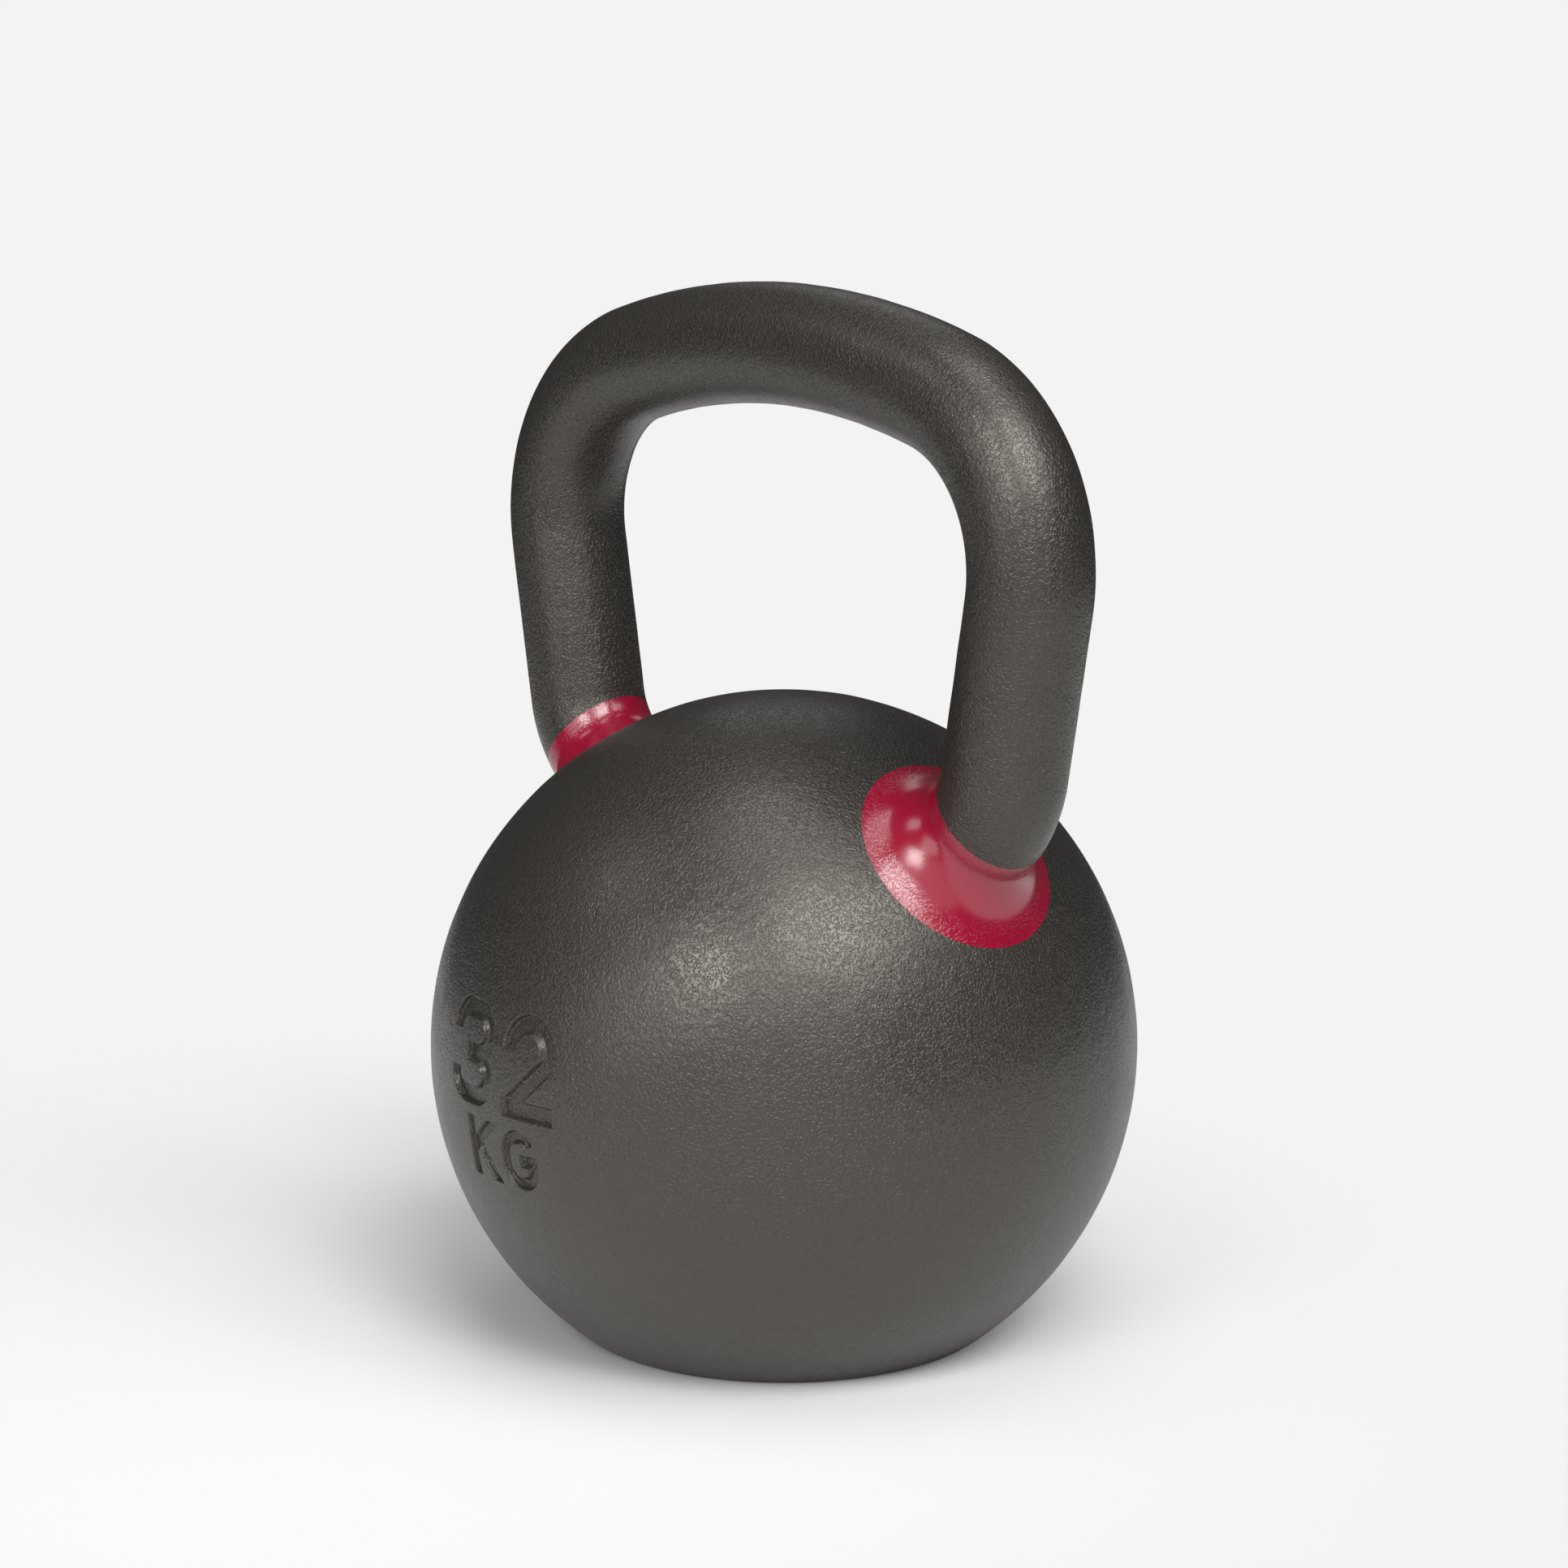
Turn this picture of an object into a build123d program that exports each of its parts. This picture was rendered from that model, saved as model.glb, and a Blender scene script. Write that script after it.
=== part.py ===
"""Kettlebell of 32 kg: a flat-bottomed iron ball, a bent handle bar and two flared collars.

Millimetres. +Z is up, X runs along the handle, and the weight marking faces -Y.
The origin is the middle of the flat base.

The handle is one round bar bent in the XZ plane: a bowed crown, two tight corners, two arms that
lean inwards, and a last bend that turns each end square to the ball. Each end steps down to a
spigot, which passes through a collar and is held in a blind socket in the ball. Each collar is
let into the ball and rises from its surface to the bar in one hollow flare.
"""

import os
from math import cos, radians, sin, sqrt, tan

from build123d import *

# Ball
BALL_RADIUS = 100.0
BALL_CENTRE_HEIGHT = 81.6  # above the flat base
BASE_EDGE_RADIUS = 4.0  # rounding where the flat base meets the sphere

# Handle bar, measured on its centreline
BAR_DIAMETER = 33.6
CROWN_HEIGHT = 279.1  # top of the centreline above the base
CROWN_RADIUS = 229.0
CROWN_HALF_ANGLE = 16.0
CORNER_RADIUS = 47.6
CORNER_ANGLE = 84.2
FOOT_BEND_RADIUS = 28.3

# Bar ends and sockets, on a line through the ball's centre
ENTRY_ANGLE = 47.5  # of that line, away from vertical
JOINT_DISTANCE = 114.0  # from the ball's centre to where bar and collar meet
SPIGOT_DIAMETER = 27.0
SPIGOT_END = 68.0  # from the ball's centre to the bottom of the socket
SPIGOT_CHAMFER = 1.5

# Collars
COLLAR_DIAMETER = 58.6  # at the rim
COLLAR_SEAT_DEPTH = 2.0  # how far the rim is let into the ball
COLLAR_FLARE_RADIUS = 22.0  # of the hollow section between the rim and the bar

# Recessed weight marking. Its own x and y are measured from a point level with the ball's centre.
MARKING_X = -3.5  # that point, a little left of the middle
MARKING_DEPTH = 1.6
DIGIT_STROKE = 5.0
DIGIT_TOP = 22.2  # centreline of the topmost strokes
DIGIT_WAIST = 10.4
DIGIT_FOOT = -1.3
UNIT_STROKE = 3.4
UNIT_TOP = -7.2  # outer edges of the unit letters
UNIT_FOOT = -24.0

IRON_DENSITY = 7.2e-6  # kg per cubic millimetre, for the printed mass

os.makedirs("parts", exist_ok=True)

bar_radius = BAR_DIAMETER / 2
spigot_radius = SPIGOT_DIAMETER / 2
rim_radius = COLLAR_DIAMETER / 2
rim_distance = sqrt(BALL_RADIUS**2 - rim_radius**2)
seat_distance = rim_distance - COLLAR_SEAT_DEPTH

ball_centre = Vector(0, 0, BALL_CENTRE_HEIGHT)


def entry_plane(distance, side=1):
    """Plane square to the right (or, with side=-1, left) entry line, facing away from the ball."""
    outward = Vector(side * sin(radians(ENTRY_ANGLE)), 0, cos(radians(ENTRY_ANGLE)))
    return Plane(origin=ball_centre + outward * distance, x_dir=(0, 1, 0), z_dir=outward)


entry_line = Axis(ball_centre, entry_plane(0).z_dir)


# %% Bar stock: the right half of the bent bar, at full diameter down to the collar's seat

with BuildPart() as bar_stock:
    with BuildLine(Plane.XZ):
        crown = JernArc((0, CROWN_HEIGHT), (1, 0), CROWN_RADIUS, -CROWN_HALF_ANGLE)
        corner = JernArc(crown @ 1, crown % 1, CORNER_RADIUS, -CORNER_ANGLE)
        # The arm is as long as lets its last bend end exactly on the entry line.
        foot_turn = 90 + ENTRY_ANGLE - CROWN_HALF_ANGLE - CORNER_ANGLE
        to_centre = ball_centre - corner @ 1
        reach = to_centre.cross(entry_line.direction).Y / (corner % 1).cross(entry_line.direction).Y
        arm_length = reach - FOOT_BEND_RADIUS * tan(radians(foot_turn / 2))
        arm = PolarLine(corner @ 1, arm_length, direction=corner % 1)
        foot_bend = JernArc(arm @ 1, arm % 1, FOOT_BEND_RADIUS, -foot_turn)
        foot_length = (foot_bend @ 1 - ball_centre).length - seat_distance
        PolarLine(foot_bend @ 1, foot_length, direction=foot_bend % 1)
    with BuildSketch(Plane.YZ):
        with Locations((0, CROWN_HEIGHT)):
            Circle(bar_radius)
    sweep()


# %% Handle: the bar above its collars, with a spigot on each end

with BuildPart() as handle:
    add(bar_stock.part)
    split(bisect_by=entry_plane(JOINT_DISTANCE), keep=Keep.TOP)
    with Locations(entry_plane(JOINT_DISTANCE)):
        Cylinder(
            spigot_radius,
            JOINT_DISTANCE - SPIGOT_END,
            align=(Align.CENTER, Align.CENTER, Align.MAX),
        )
    chamfer(handle.edges().group_by(entry_line)[0], SPIGOT_CHAMFER)
    mirror(about=Plane.YZ)


# %% Collars: a turned flare, topped by the bar's own last few millimetres, and bored right through

neck_distance = (foot_bend @ 1 - ball_centre).length
# Half section of the flare: local x is the distance from the entry line, local y runs out along it.
flare_section = Plane(origin=ball_centre, x_dir=(0, 1, 0), z_dir=-entry_plane(0).y_dir)

with BuildPart() as right_collar:
    with BuildSketch(flare_section):
        with BuildLine():
            neck = Line((0, neck_distance), (bar_radius, neck_distance))
            RadiusArc(neck @ 1, (rim_radius, rim_distance), -COLLAR_FLARE_RADIUS)
            Polyline(
                (rim_radius, rim_distance),
                (rim_radius, seat_distance),
                (0, seat_distance),
                neck @ 0,
            )
        make_face()
    revolve(axis=entry_line)
    add(bar_stock.part)
    split(bisect_by=entry_plane(JOINT_DISTANCE), keep=Keep.BOTTOM)
    with Locations(entry_plane(JOINT_DISTANCE)):
        Hole(spigot_radius)

with BuildPart() as left_collar:
    mirror(right_collar.part, about=Plane.YZ)


# %% Weight marking: plain strokes of even width with square-cut ends

with BuildSketch() as digit_three:
    left, right, waist_end, bowl = -21.3, -4.4, -15.0, 5.8
    # Upper bowl, then lower bowl: each starts at its cut end and finishes along the waist.
    for edge, inward in ((DIGIT_TOP, -1), (DIGIT_FOOT, 1)):
        with BuildLine():
            FilletPolyline(
                (left, edge + inward * (bowl + 0.5)),
                (left, edge),
                (right, edge),
                (right, DIGIT_WAIST),
                (waist_end, DIGIT_WAIST),
                radius=bowl,
            )
        trace(line_width=DIGIT_STROKE)

with BuildSketch() as digit_two:
    left, right, head = 5.1, 19.9, 7.2
    with BuildLine():
        FilletPolyline(
            (left, DIGIT_TOP - head - 0.3),
            (left, DIGIT_TOP),
            (right, DIGIT_TOP),
            (right, DIGIT_TOP - 1.4 * head),
            (left + 0.7, DIGIT_FOOT + 0.7),
            radius=[head, head, 5.0],
        )
    trace(line_width=DIGIT_STROKE)
    with Locations((left - DIGIT_STROKE / 2, DIGIT_FOOT)):
        Rectangle(right - left + DIGIT_STROKE, DIGIT_STROKE, align=(Align.MIN, Align.CENTER))

with BuildSketch() as letter_k:
    # The slanted strokes run on past the top and foot, and are cut off flush with the stem.
    left, width, height = -14.5, 14.5, UNIT_TOP - UNIT_FOOT
    with BuildLine():
        Line((left + 1.5, -16.6), (left + 13.6, -5.8))
        Line((left + 5.3, -13.4), (left + 13.1, -25.6))
    trace(line_width=UNIT_STROKE)
    with Locations((left, UNIT_FOOT)):
        Rectangle(width, height, align=Align.MIN, mode=Mode.INTERSECT)
        Rectangle(UNIT_STROKE, height, align=Align.MIN)

with BuildSketch() as letter_g:
    middle, bowl = 8.7, 5.35
    head_y = UNIT_TOP - UNIT_STROKE / 2 - bowl
    foot_y = UNIT_FOOT + UNIT_STROKE / 2 + bowl
    with BuildLine():
        head = CenterArc((middle, head_y), bowl, 35, 145)
        foot = CenterArc((middle, foot_y), bowl, 180, 180)
        Line(head @ 1, foot @ 0)
        Polyline(foot @ 1, (middle + bowl, -15.6), (middle + 0.5, -15.6))
    trace(line_width=UNIT_STROKE)

marking_plane = Plane(origin=ball_centre + (MARKING_X, 0, 0), x_dir=(1, 0, 0), z_dir=(0, -1, 0))

# The marking's prism, hollowed by a sphere so that the recess is equally deep all over.
with BuildPart() as marking_cutter:
    with BuildSketch(marking_plane):
        add([digit_three.sketch, digit_two.sketch, letter_k.sketch, letter_g.sketch])
    extrude(amount=BALL_RADIUS)
    with Locations(ball_centre):
        Sphere(BALL_RADIUS - MARKING_DEPTH, mode=Mode.SUBTRACT)


# %% Ball: solid, standing on a flat base, with a seat and a socket for each end of the handle

with BuildPart() as ball:
    with Locations(ball_centre):
        Sphere(BALL_RADIUS)
    split(bisect_by=Plane.XY, keep=Keep.TOP)
    fillet(ball.edges().group_by(Axis.Z)[0], BASE_EDGE_RADIUS)
    with Locations(entry_plane(seat_distance), entry_plane(seat_distance, side=-1)):
        Cylinder(
            rim_radius,
            BALL_RADIUS,
            align=(Align.CENTER, Align.CENTER, Align.MIN),
            mode=Mode.SUBTRACT,
        )
        Cylinder(
            spigot_radius,
            seat_distance - SPIGOT_END,
            align=(Align.CENTER, Align.CENTER, Align.MAX),
            mode=Mode.SUBTRACT,
        )
    add(marking_cutter.part, mode=Mode.SUBTRACT)


# %% Labels and files

for label, node in (
    ("ball", ball),
    ("handle", handle),
    ("right_collar", right_collar),
    ("left_collar", left_collar),
):
    node.part.label = label
    export_step(node.part, f"parts/{label}.step")

total_volume = sum(node.part.volume for node in (ball, handle, right_collar, left_collar))
print("iron", round(total_volume * IRON_DENSITY, 2), "kg, arms", round(arm_length, 2), "mm")
print("necks", round(neck_distance, 2), "mm from the ball's centre")
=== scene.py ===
# %% [markdown]
# # A cast iron kettlebell, 32 kg
#
# The real bell is an iron ball on a flat base, with one bent bar for a handle. Grey powder coat
# covers the casting and keeps its fine, uneven grain. Where the bar meets the ball, a flared
# collar is painted in glossy crimson enamel. The weight is recessed in the front of the ball.
#
# The CAD model fixes every size and place. It is loaded first, and the finer meshes made here
# stand for its four nodes, in metres and in the same frame: +Z up, X along the handle, and the
# marking towards -Y.

from math import acos, asin, atan2, cos, pi, radians, sin, sqrt, tau

import bmesh
import bpy
import numpy as np
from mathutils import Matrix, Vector


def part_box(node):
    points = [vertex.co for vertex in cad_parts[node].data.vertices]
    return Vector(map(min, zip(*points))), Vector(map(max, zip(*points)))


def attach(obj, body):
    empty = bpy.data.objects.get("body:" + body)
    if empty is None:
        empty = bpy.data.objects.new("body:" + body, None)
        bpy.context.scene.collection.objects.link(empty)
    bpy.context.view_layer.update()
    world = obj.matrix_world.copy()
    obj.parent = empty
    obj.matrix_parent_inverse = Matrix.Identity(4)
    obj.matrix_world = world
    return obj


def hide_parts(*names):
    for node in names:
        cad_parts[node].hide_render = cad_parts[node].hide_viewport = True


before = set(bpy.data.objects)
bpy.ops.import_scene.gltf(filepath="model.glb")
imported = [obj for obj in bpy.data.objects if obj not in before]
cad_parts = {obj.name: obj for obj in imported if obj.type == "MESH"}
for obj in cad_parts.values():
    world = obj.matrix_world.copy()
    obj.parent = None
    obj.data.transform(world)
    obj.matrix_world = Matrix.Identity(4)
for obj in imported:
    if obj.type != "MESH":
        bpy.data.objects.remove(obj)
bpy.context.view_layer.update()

# %% [markdown]
# ## Sizes
#
# Whatever the frame can tell is read from it: the ball's box gives its radius and the height of
# its centre, and the handle's box gives the bar's thickness and height. The radii of the bends
# can't be read from a box, so they are named here, as a bender's drawing would name them.

# %% Sizes from the frame
ball_low, ball_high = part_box("ball")
handle_low, handle_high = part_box("handle")

BALL_RADIUS = round((ball_high.x - ball_low.x) / 2, 4)
CENTRE_HEIGHT = round(ball_high.z, 4) - BALL_RADIUS
BAR_RADIUS = round((handle_high.y - handle_low.y) / 2, 4)
CROWN_HEIGHT = round(handle_high.z, 4) - BAR_RADIUS
print("ball radius", BALL_RADIUS, "and centre", CENTRE_HEIGHT)
print("bar radius", BAR_RADIUS, "and crown centreline", CROWN_HEIGHT)

# %% Sizes from the drawing
CROWN_RADIUS = 0.229
CROWN_HALF_ANGLE = radians(16)
CORNER_RADIUS = 0.0476
CORNER_ANGLE = radians(84.2)
FOOT_BEND_RADIUS = 0.0283

ENTRY_ANGLE = radians(47.5)     # of each bar end's line through the ball's centre, from vertical
JOINT_DISTANCE = 0.114          # from the ball's centre to where bar and collar meet
SPIGOT_RADIUS = 0.0135
SPIGOT_END = 0.068
SPIGOT_CHAMFER = 0.0015
RIM_RADIUS = 0.0293
SEAT_DEPTH = 0.002
FLARE_RADIUS = 0.022            # of the collar's hollow section between its rim and the bar
BASE_EDGE_RADIUS = 0.004

centre = np.array((0.0, 0.0, CENTRE_HEIGHT))
rim_distance = sqrt(BALL_RADIUS**2 - RIM_RADIUS**2)
seat_distance = rim_distance - SEAT_DEPTH
print("from the ball's centre, rim", round(rim_distance, 5), "and seat", round(seat_distance, 5))


def entry_frame(side):
    """Unit vectors of one bar end: out of the ball, downhill across the handle, and along +Y."""
    out = np.array((side * sin(ENTRY_ANGLE), 0, cos(ENTRY_ANGLE)))
    downhill = np.array((side * cos(ENTRY_ANGLE), 0, -sin(ENTRY_ANGLE)))
    return out, downhill, np.array((0, 1, 0))


# %% [markdown]
# ## Casting unevenness
#
# A sand-cast surface is never a perfect sphere or a perfect bar. It swells and dips by a few
# hundredths of a millimetre over a centimetre, which is what makes a highlight wander. A sum of
# plane waves in random directions gives such an even, patternless relief anywhere in space, and
# the seed makes it the same in every run. A displacement by a noise texture would look much the
# same, but each piece would need its own modifier. Here neighbouring pieces use one function of
# place, so their shared edges still meet within hundredths of a millimetre.

# %% Relief over a centimetre
RELIEF_DEPTH = 0.000022         # root mean square height
RELIEF_WAVELENGTHS = (0.009, 0.026)
RELIEF_WAVES = 48

waves = np.random.default_rng(32)
directions = waves.normal(size=(RELIEF_WAVES, 3))
directions /= np.linalg.norm(directions, axis=1)[:, None]
wave_vectors = directions * (tau / waves.uniform(*RELIEF_WAVELENGTHS, RELIEF_WAVES))[:, None]
wave_phases = waves.uniform(0, tau, RELIEF_WAVES)


def relief(points):
    """Height of the casting above its ideal surface, at each point."""
    total = np.cos(points @ wave_vectors.T + wave_phases).sum(axis=1)
    return RELIEF_DEPTH * total * sqrt(2 / RELIEF_WAVES)


front_relief = relief(centre[None] - (0, BALL_RADIUS, 0))[0]
print("relief at the ball's front:", round(1e6 * front_relief, 1), "micrometres")

# %% [markdown]
# ## Rings
#
# The bar, its spigots and the collars are all round tubes that bend, widen or narrow along their
# length, so each is a stack of rings with the same number of points, joined by quads. One helper
# makes the mesh, and the shapes differ only in where the rings lie.

# %% From mesh code to an object
SMOOTH_UP_TO = radians(38)      # sharper edges than this stay crisp


def finish_mesh(bm, name):
    """Turns a bmesh into an object with smooth shading, except across real edges."""
    bmesh.ops.recalc_face_normals(bm, faces=bm.faces)
    mesh = bpy.data.meshes.new(name)
    bm.to_mesh(mesh)
    bm.free()
    mesh.shade_smooth()
    mesh.set_sharp_from_angle(angle=SMOOTH_UP_TO)
    piece = bpy.data.objects.new(name, mesh)
    bpy.context.scene.collection.objects.link(piece)
    triangles = sum(len(face.vertices) - 2 for face in mesh.polygons)
    print(f"{name}: {len(mesh.vertices)} vertices, {triangles} triangles")
    return piece


# %% Joining and closing rings
def bridge(bm, first, second):
    """Joins two rings of vertices with quads."""
    count = len(first)
    for k in range(count):
        j = (k + 1) % count
        bm.faces.new((first[k], first[j], second[j], second[k]))


def stack(bm, rings, start=None):
    """Adds rings of points one after another, from an existing ring of vertices if given."""
    loops = [start] if start else []
    for ring in rings:
        loops.append([bm.verts.new(point) for point in ring])
    for first, second in zip(loops, loops[1:]):
        bridge(bm, first, second)
    return loops


def cap(bm, ring, point):
    """Closes a ring of vertices with a fan to one point."""
    tip = bm.verts.new(point)
    for k in range(len(ring)):
        bm.faces.new((ring[k], ring[(k + 1) % len(ring)], tip))


def circle_about_entry(side, angles, radius, distance):
    """Points round one entry line, at a radius and at a distance from the ball's centre."""
    out, downhill, across = entry_frame(side)
    return (
        centre
        + out * distance
        + radius * (np.cos(angles)[:, None] * downhill + np.sin(angles)[:, None] * across)
    )


# %% [markdown]
# ## The bar's centreline
#
# The bar is bent in one plane. Going down its right half, the heading turns from level at the
# crown, through the corner, to the arm, and at last to the entry line. On an arc, a point of the
# bar's surface is simply further from the arc's centre, or nearer to it, by its share of the
# bar's radius. So the surface is exact at every heading, with no sampled curve in between. A
# curve with a round bevel would give the bends in a few lines, but its rings always stand square
# to it, and couldn't lean over to lie flat in the joints with the collars.

# %% Bends of the right half
corner_end_angle = CROWN_HALF_ANGLE + CORNER_ANGLE
foot_end_angle = pi / 2 + ENTRY_ANGLE


def outward(heading):
    """The side of the bar away from the bend's centre, in the XZ plane."""
    return np.array((sin(heading), cos(heading)))


def along(heading):
    """The way the bar runs, down its right half, in the XZ plane."""
    return np.array((cos(heading), -sin(heading)))


crown_centre = np.array((0, CROWN_HEIGHT - CROWN_RADIUS))
corner_centre = crown_centre + (CROWN_RADIUS - CORNER_RADIUS) * outward(CROWN_HALF_ANGLE)
arm_top = corner_centre + CORNER_RADIUS * outward(corner_end_angle)

# The arm runs until its last bend can end exactly on the entry line.
entry_out = np.array((sin(ENTRY_ANGLE), cos(ENTRY_ANGLE)))
to_ball = np.array((0, CENTRE_HEIGHT)) - arm_top
arm_run = along(corner_end_angle)
arm_reach = np.cross(to_ball, entry_out) / np.cross(arm_run, entry_out)
half_turn = (foot_end_angle - corner_end_angle) / 2
arm_length = arm_reach - FOOT_BEND_RADIUS * sin(half_turn) / cos(half_turn)
arm_end = arm_top + arm_length * arm_run
foot_centre = arm_end - FOOT_BEND_RADIUS * outward(corner_end_angle)
bend_end_distance = (foot_centre - (0, CENTRE_HEIGHT)) @ entry_out
print("straight arm", round(1000 * arm_length, 2), "mm")
print("last bend ends", round(1000 * bend_end_distance, 2), "mm from the ball's centre")


# %% Rings on a bend
def bar_ring(angles, arc_centre, arc_radius, heading):
    """A ring of the bar's surface on an arc. The heading may differ from point to point."""
    reach = arc_radius + BAR_RADIUS * np.cos(angles)
    return np.stack(
        (
            arc_centre[0] + reach * np.sin(heading),
            BAR_RADIUS * np.sin(angles),
            arc_centre[1] + reach * np.cos(heading),
        ),
        axis=1,
    )


def joint_heading(angles):
    """Heading at which each line along the bar reaches the flat joint with its collar."""
    reach = FOOT_BEND_RADIUS + BAR_RADIUS * np.cos(angles)
    return ENTRY_ANGLE + np.arccos((JOINT_DISTANCE - bend_end_distance) / reach)


def raised(ring, arc_centre, arc_radius):
    """Lifts a ring of the bar by the casting's relief, square to the bar."""
    heading = np.arctan2(ring[:, 0] - arc_centre[0], ring[:, 2] - arc_centre[1])
    core = np.stack(
        (
            arc_centre[0] + arc_radius * np.sin(heading),
            np.zeros(len(ring)),
            arc_centre[1] + arc_radius * np.cos(heading),
        ),
        axis=1,
    )
    normal = (ring - core) / np.linalg.norm(ring - core, axis=1)[:, None]
    return ring + relief(ring)[:, None] * normal


# %% [markdown]
# ## The handle
#
# The rings are spaced by the same step along the whole bar, about as far apart as the points on a
# ring, so the quads are nearly square and no bend looks faceted. In the last bend the rings lean
# over gradually, until the last one lies flat in the joint with the collar. A spigot carries on
# from there into the ball, out of sight. The left half is the right half mirrored, without the
# relief being worked out again.

# %% Rings of half the bar
BAR_STEP = 0.00066


def steps(length):
    return max(2, round(length / BAR_STEP))


def half_bar_rings(angles):
    """Rings of the right half, from the crown's middle to the joint."""
    rings = []
    for t in np.linspace(0, 1, steps(CROWN_RADIUS * CROWN_HALF_ANGLE), endpoint=False):
        ring = bar_ring(angles, crown_centre, CROWN_RADIUS, t * CROWN_HALF_ANGLE)
        rings.append(raised(ring, crown_centre, CROWN_RADIUS))
    for t in np.linspace(0, 1, steps(CORNER_RADIUS * CORNER_ANGLE), endpoint=False):
        ring = bar_ring(angles, corner_centre, CORNER_RADIUS, CROWN_HALF_ANGLE + t * CORNER_ANGLE)
        rings.append(raised(ring, corner_centre, CORNER_RADIUS))
    first = bar_ring(angles, corner_centre, CORNER_RADIUS, corner_end_angle)
    for t in np.linspace(0, 1, steps(arm_length), endpoint=False):
        shift = np.array((arm_run[0], 0, arm_run[1])) * arm_length * t
        core = np.array((arm_top[0], 0, arm_top[1])) + shift
        ring = first + shift
        rings.append(ring + relief(ring)[:, None] * (ring - core) / BAR_RADIUS)
    last = joint_heading(angles)
    turn = FOOT_BEND_RADIUS * (last.mean() - corner_end_angle)
    for t in np.linspace(0, 1, steps(turn) + 1):
        heading = corner_end_angle + t * (last - corner_end_angle)
        ring = bar_ring(angles, foot_centre, FOOT_BEND_RADIUS, heading)
        rings.append(raised(ring, foot_centre, FOOT_BEND_RADIUS))
    return rings


def mirrored(ring):
    return ring * (-1, 1, 1)


# %% Handle bar
BAR_POINTS = 150
SPIGOT_RINGS = 10


def make_handle():
    angles = np.linspace(0, tau, BAR_POINTS, endpoint=False)
    right = half_bar_rings(angles)
    left = [mirrored(ring) for ring in right[1:]]
    bm = bmesh.new()
    loops = stack(bm, left[::-1] + right)
    for side, loop in ((1, loops[-1]), (-1, loops[0])):
        spigot = [
            circle_about_entry(side, angles, SPIGOT_RADIUS, distance)
            for distance in np.linspace(JOINT_DISTANCE, SPIGOT_END + SPIGOT_CHAMFER, SPIGOT_RINGS)
        ]
        spigot.append(circle_about_entry(side, angles, SPIGOT_RADIUS - SPIGOT_CHAMFER, SPIGOT_END))
        tip = stack(bm, spigot, start=loop)[-1]
        cap(bm, tip, centre + entry_frame(side)[0] * SPIGOT_END)
    return finish_mesh(bm, "handle_bar")


handle_bar = make_handle()

# %% [markdown]
# ## The collars
#
# A collar is turned about its entry line: a rim let into the ball, and one hollow flare up to the
# neck. Above the neck it is still the bar's last bend, up to the flat joint. Spinning one section
# would do for the flare, but not for the bend above it, so a collar is again a stack of rings. Its
# section closes through the bore that the spigot fills, so the last ring joins the first, like a
# ring doughnut.
#
# The flare meets the bar in a crease. On the casting that crease is soft, so the rings on both
# sides of it are averaged with their neighbours again and again, which rounds it over.

# %% Section of the flare
# The flare is an arc from the neck to the rim. Both are given by their distances from the entry
# line and from the ball's centre.
neck = np.array((BAR_RADIUS, bend_end_distance))
rim = np.array((RIM_RADIUS, rim_distance))
chord = rim - neck
chord_length = np.linalg.norm(chord)
half_arc = asin(chord_length / 2 / FLARE_RADIUS)
across_chord = np.array((-chord[1], chord[0])) / chord_length
flare_centre = (neck + rim) / 2 + across_chord * FLARE_RADIUS * cos(half_arc)
neck_angle, rim_angle = (atan2(*(flare_centre - point)[::-1]) for point in (neck, rim))
print("flare", round(2000 * half_arc * FLARE_RADIUS, 1), "mm long from neck to rim")

# %% Rings of a collar
FLARE_STEP = 0.0003
NECK_RINGS = 24
BORE_RINGS = 12
CREASE_RINGS = 7                # rings on each side of the crease that are averaged
CREASE_PASSES = 22


def soften_crease(rings, middle):
    """Rounds the crease at one ring by averaging the rings about it with their neighbours."""
    rings = np.array(rings)
    low, high = middle - CREASE_RINGS, middle + CREASE_RINGS + 1
    for _ in range(CREASE_PASSES):
        rings[low:high] = (rings[low - 1:high - 1] + rings[low:high] + rings[low + 1:high + 1]) / 3
    return list(rings)


def collar_rings(side, angles):
    """Rings of a collar, from the joint down the outside and back up through the bore."""
    last = joint_heading(angles)
    rings = []
    for t in np.linspace(0, 1, NECK_RINGS):
        heading = last + t * (foot_end_angle - last)
        ring = bar_ring(angles, foot_centre, FOOT_BEND_RADIUS, heading)
        ring = raised(ring, foot_centre, FOOT_BEND_RADIUS)
        rings.append(ring if side > 0 else mirrored(ring))
    crease = len(rings) - 1
    out, downhill, across = entry_frame(side)
    radial = np.cos(angles)[:, None] * downhill + np.sin(angles)[:, None] * across
    flare_rings = round(2 * half_arc * FLARE_RADIUS / FLARE_STEP)
    for a in np.linspace(neck_angle, rim_angle, flare_rings)[1:]:
        radius, distance = flare_centre - FLARE_RADIUS * np.array((cos(a), sin(a)))
        ring = circle_about_entry(side, angles, radius, distance)
        rings.append(ring + relief(ring)[:, None] * (cos(a) * radial + sin(a) * out))
    rings = soften_crease(rings, crease)
    rings.append(circle_about_entry(side, angles, RIM_RADIUS, seat_distance))
    for distance in np.linspace(seat_distance, JOINT_DISTANCE, BORE_RINGS):
        rings.append(circle_about_entry(side, angles, SPIGOT_RADIUS, distance))
    return rings


# %% Collars
COLLAR_POINTS = 380


def make_collar(side, name):
    angles = np.linspace(0, tau, COLLAR_POINTS, endpoint=False)
    bm = bmesh.new()
    loops = stack(bm, collar_rings(side, angles))
    bridge(bm, loops[-1], loops[0])
    return finish_mesh(bm, name)


right_flare = make_collar(1, "right_collar_flare")
left_flare = make_collar(-1, "left_collar_flare")

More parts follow.
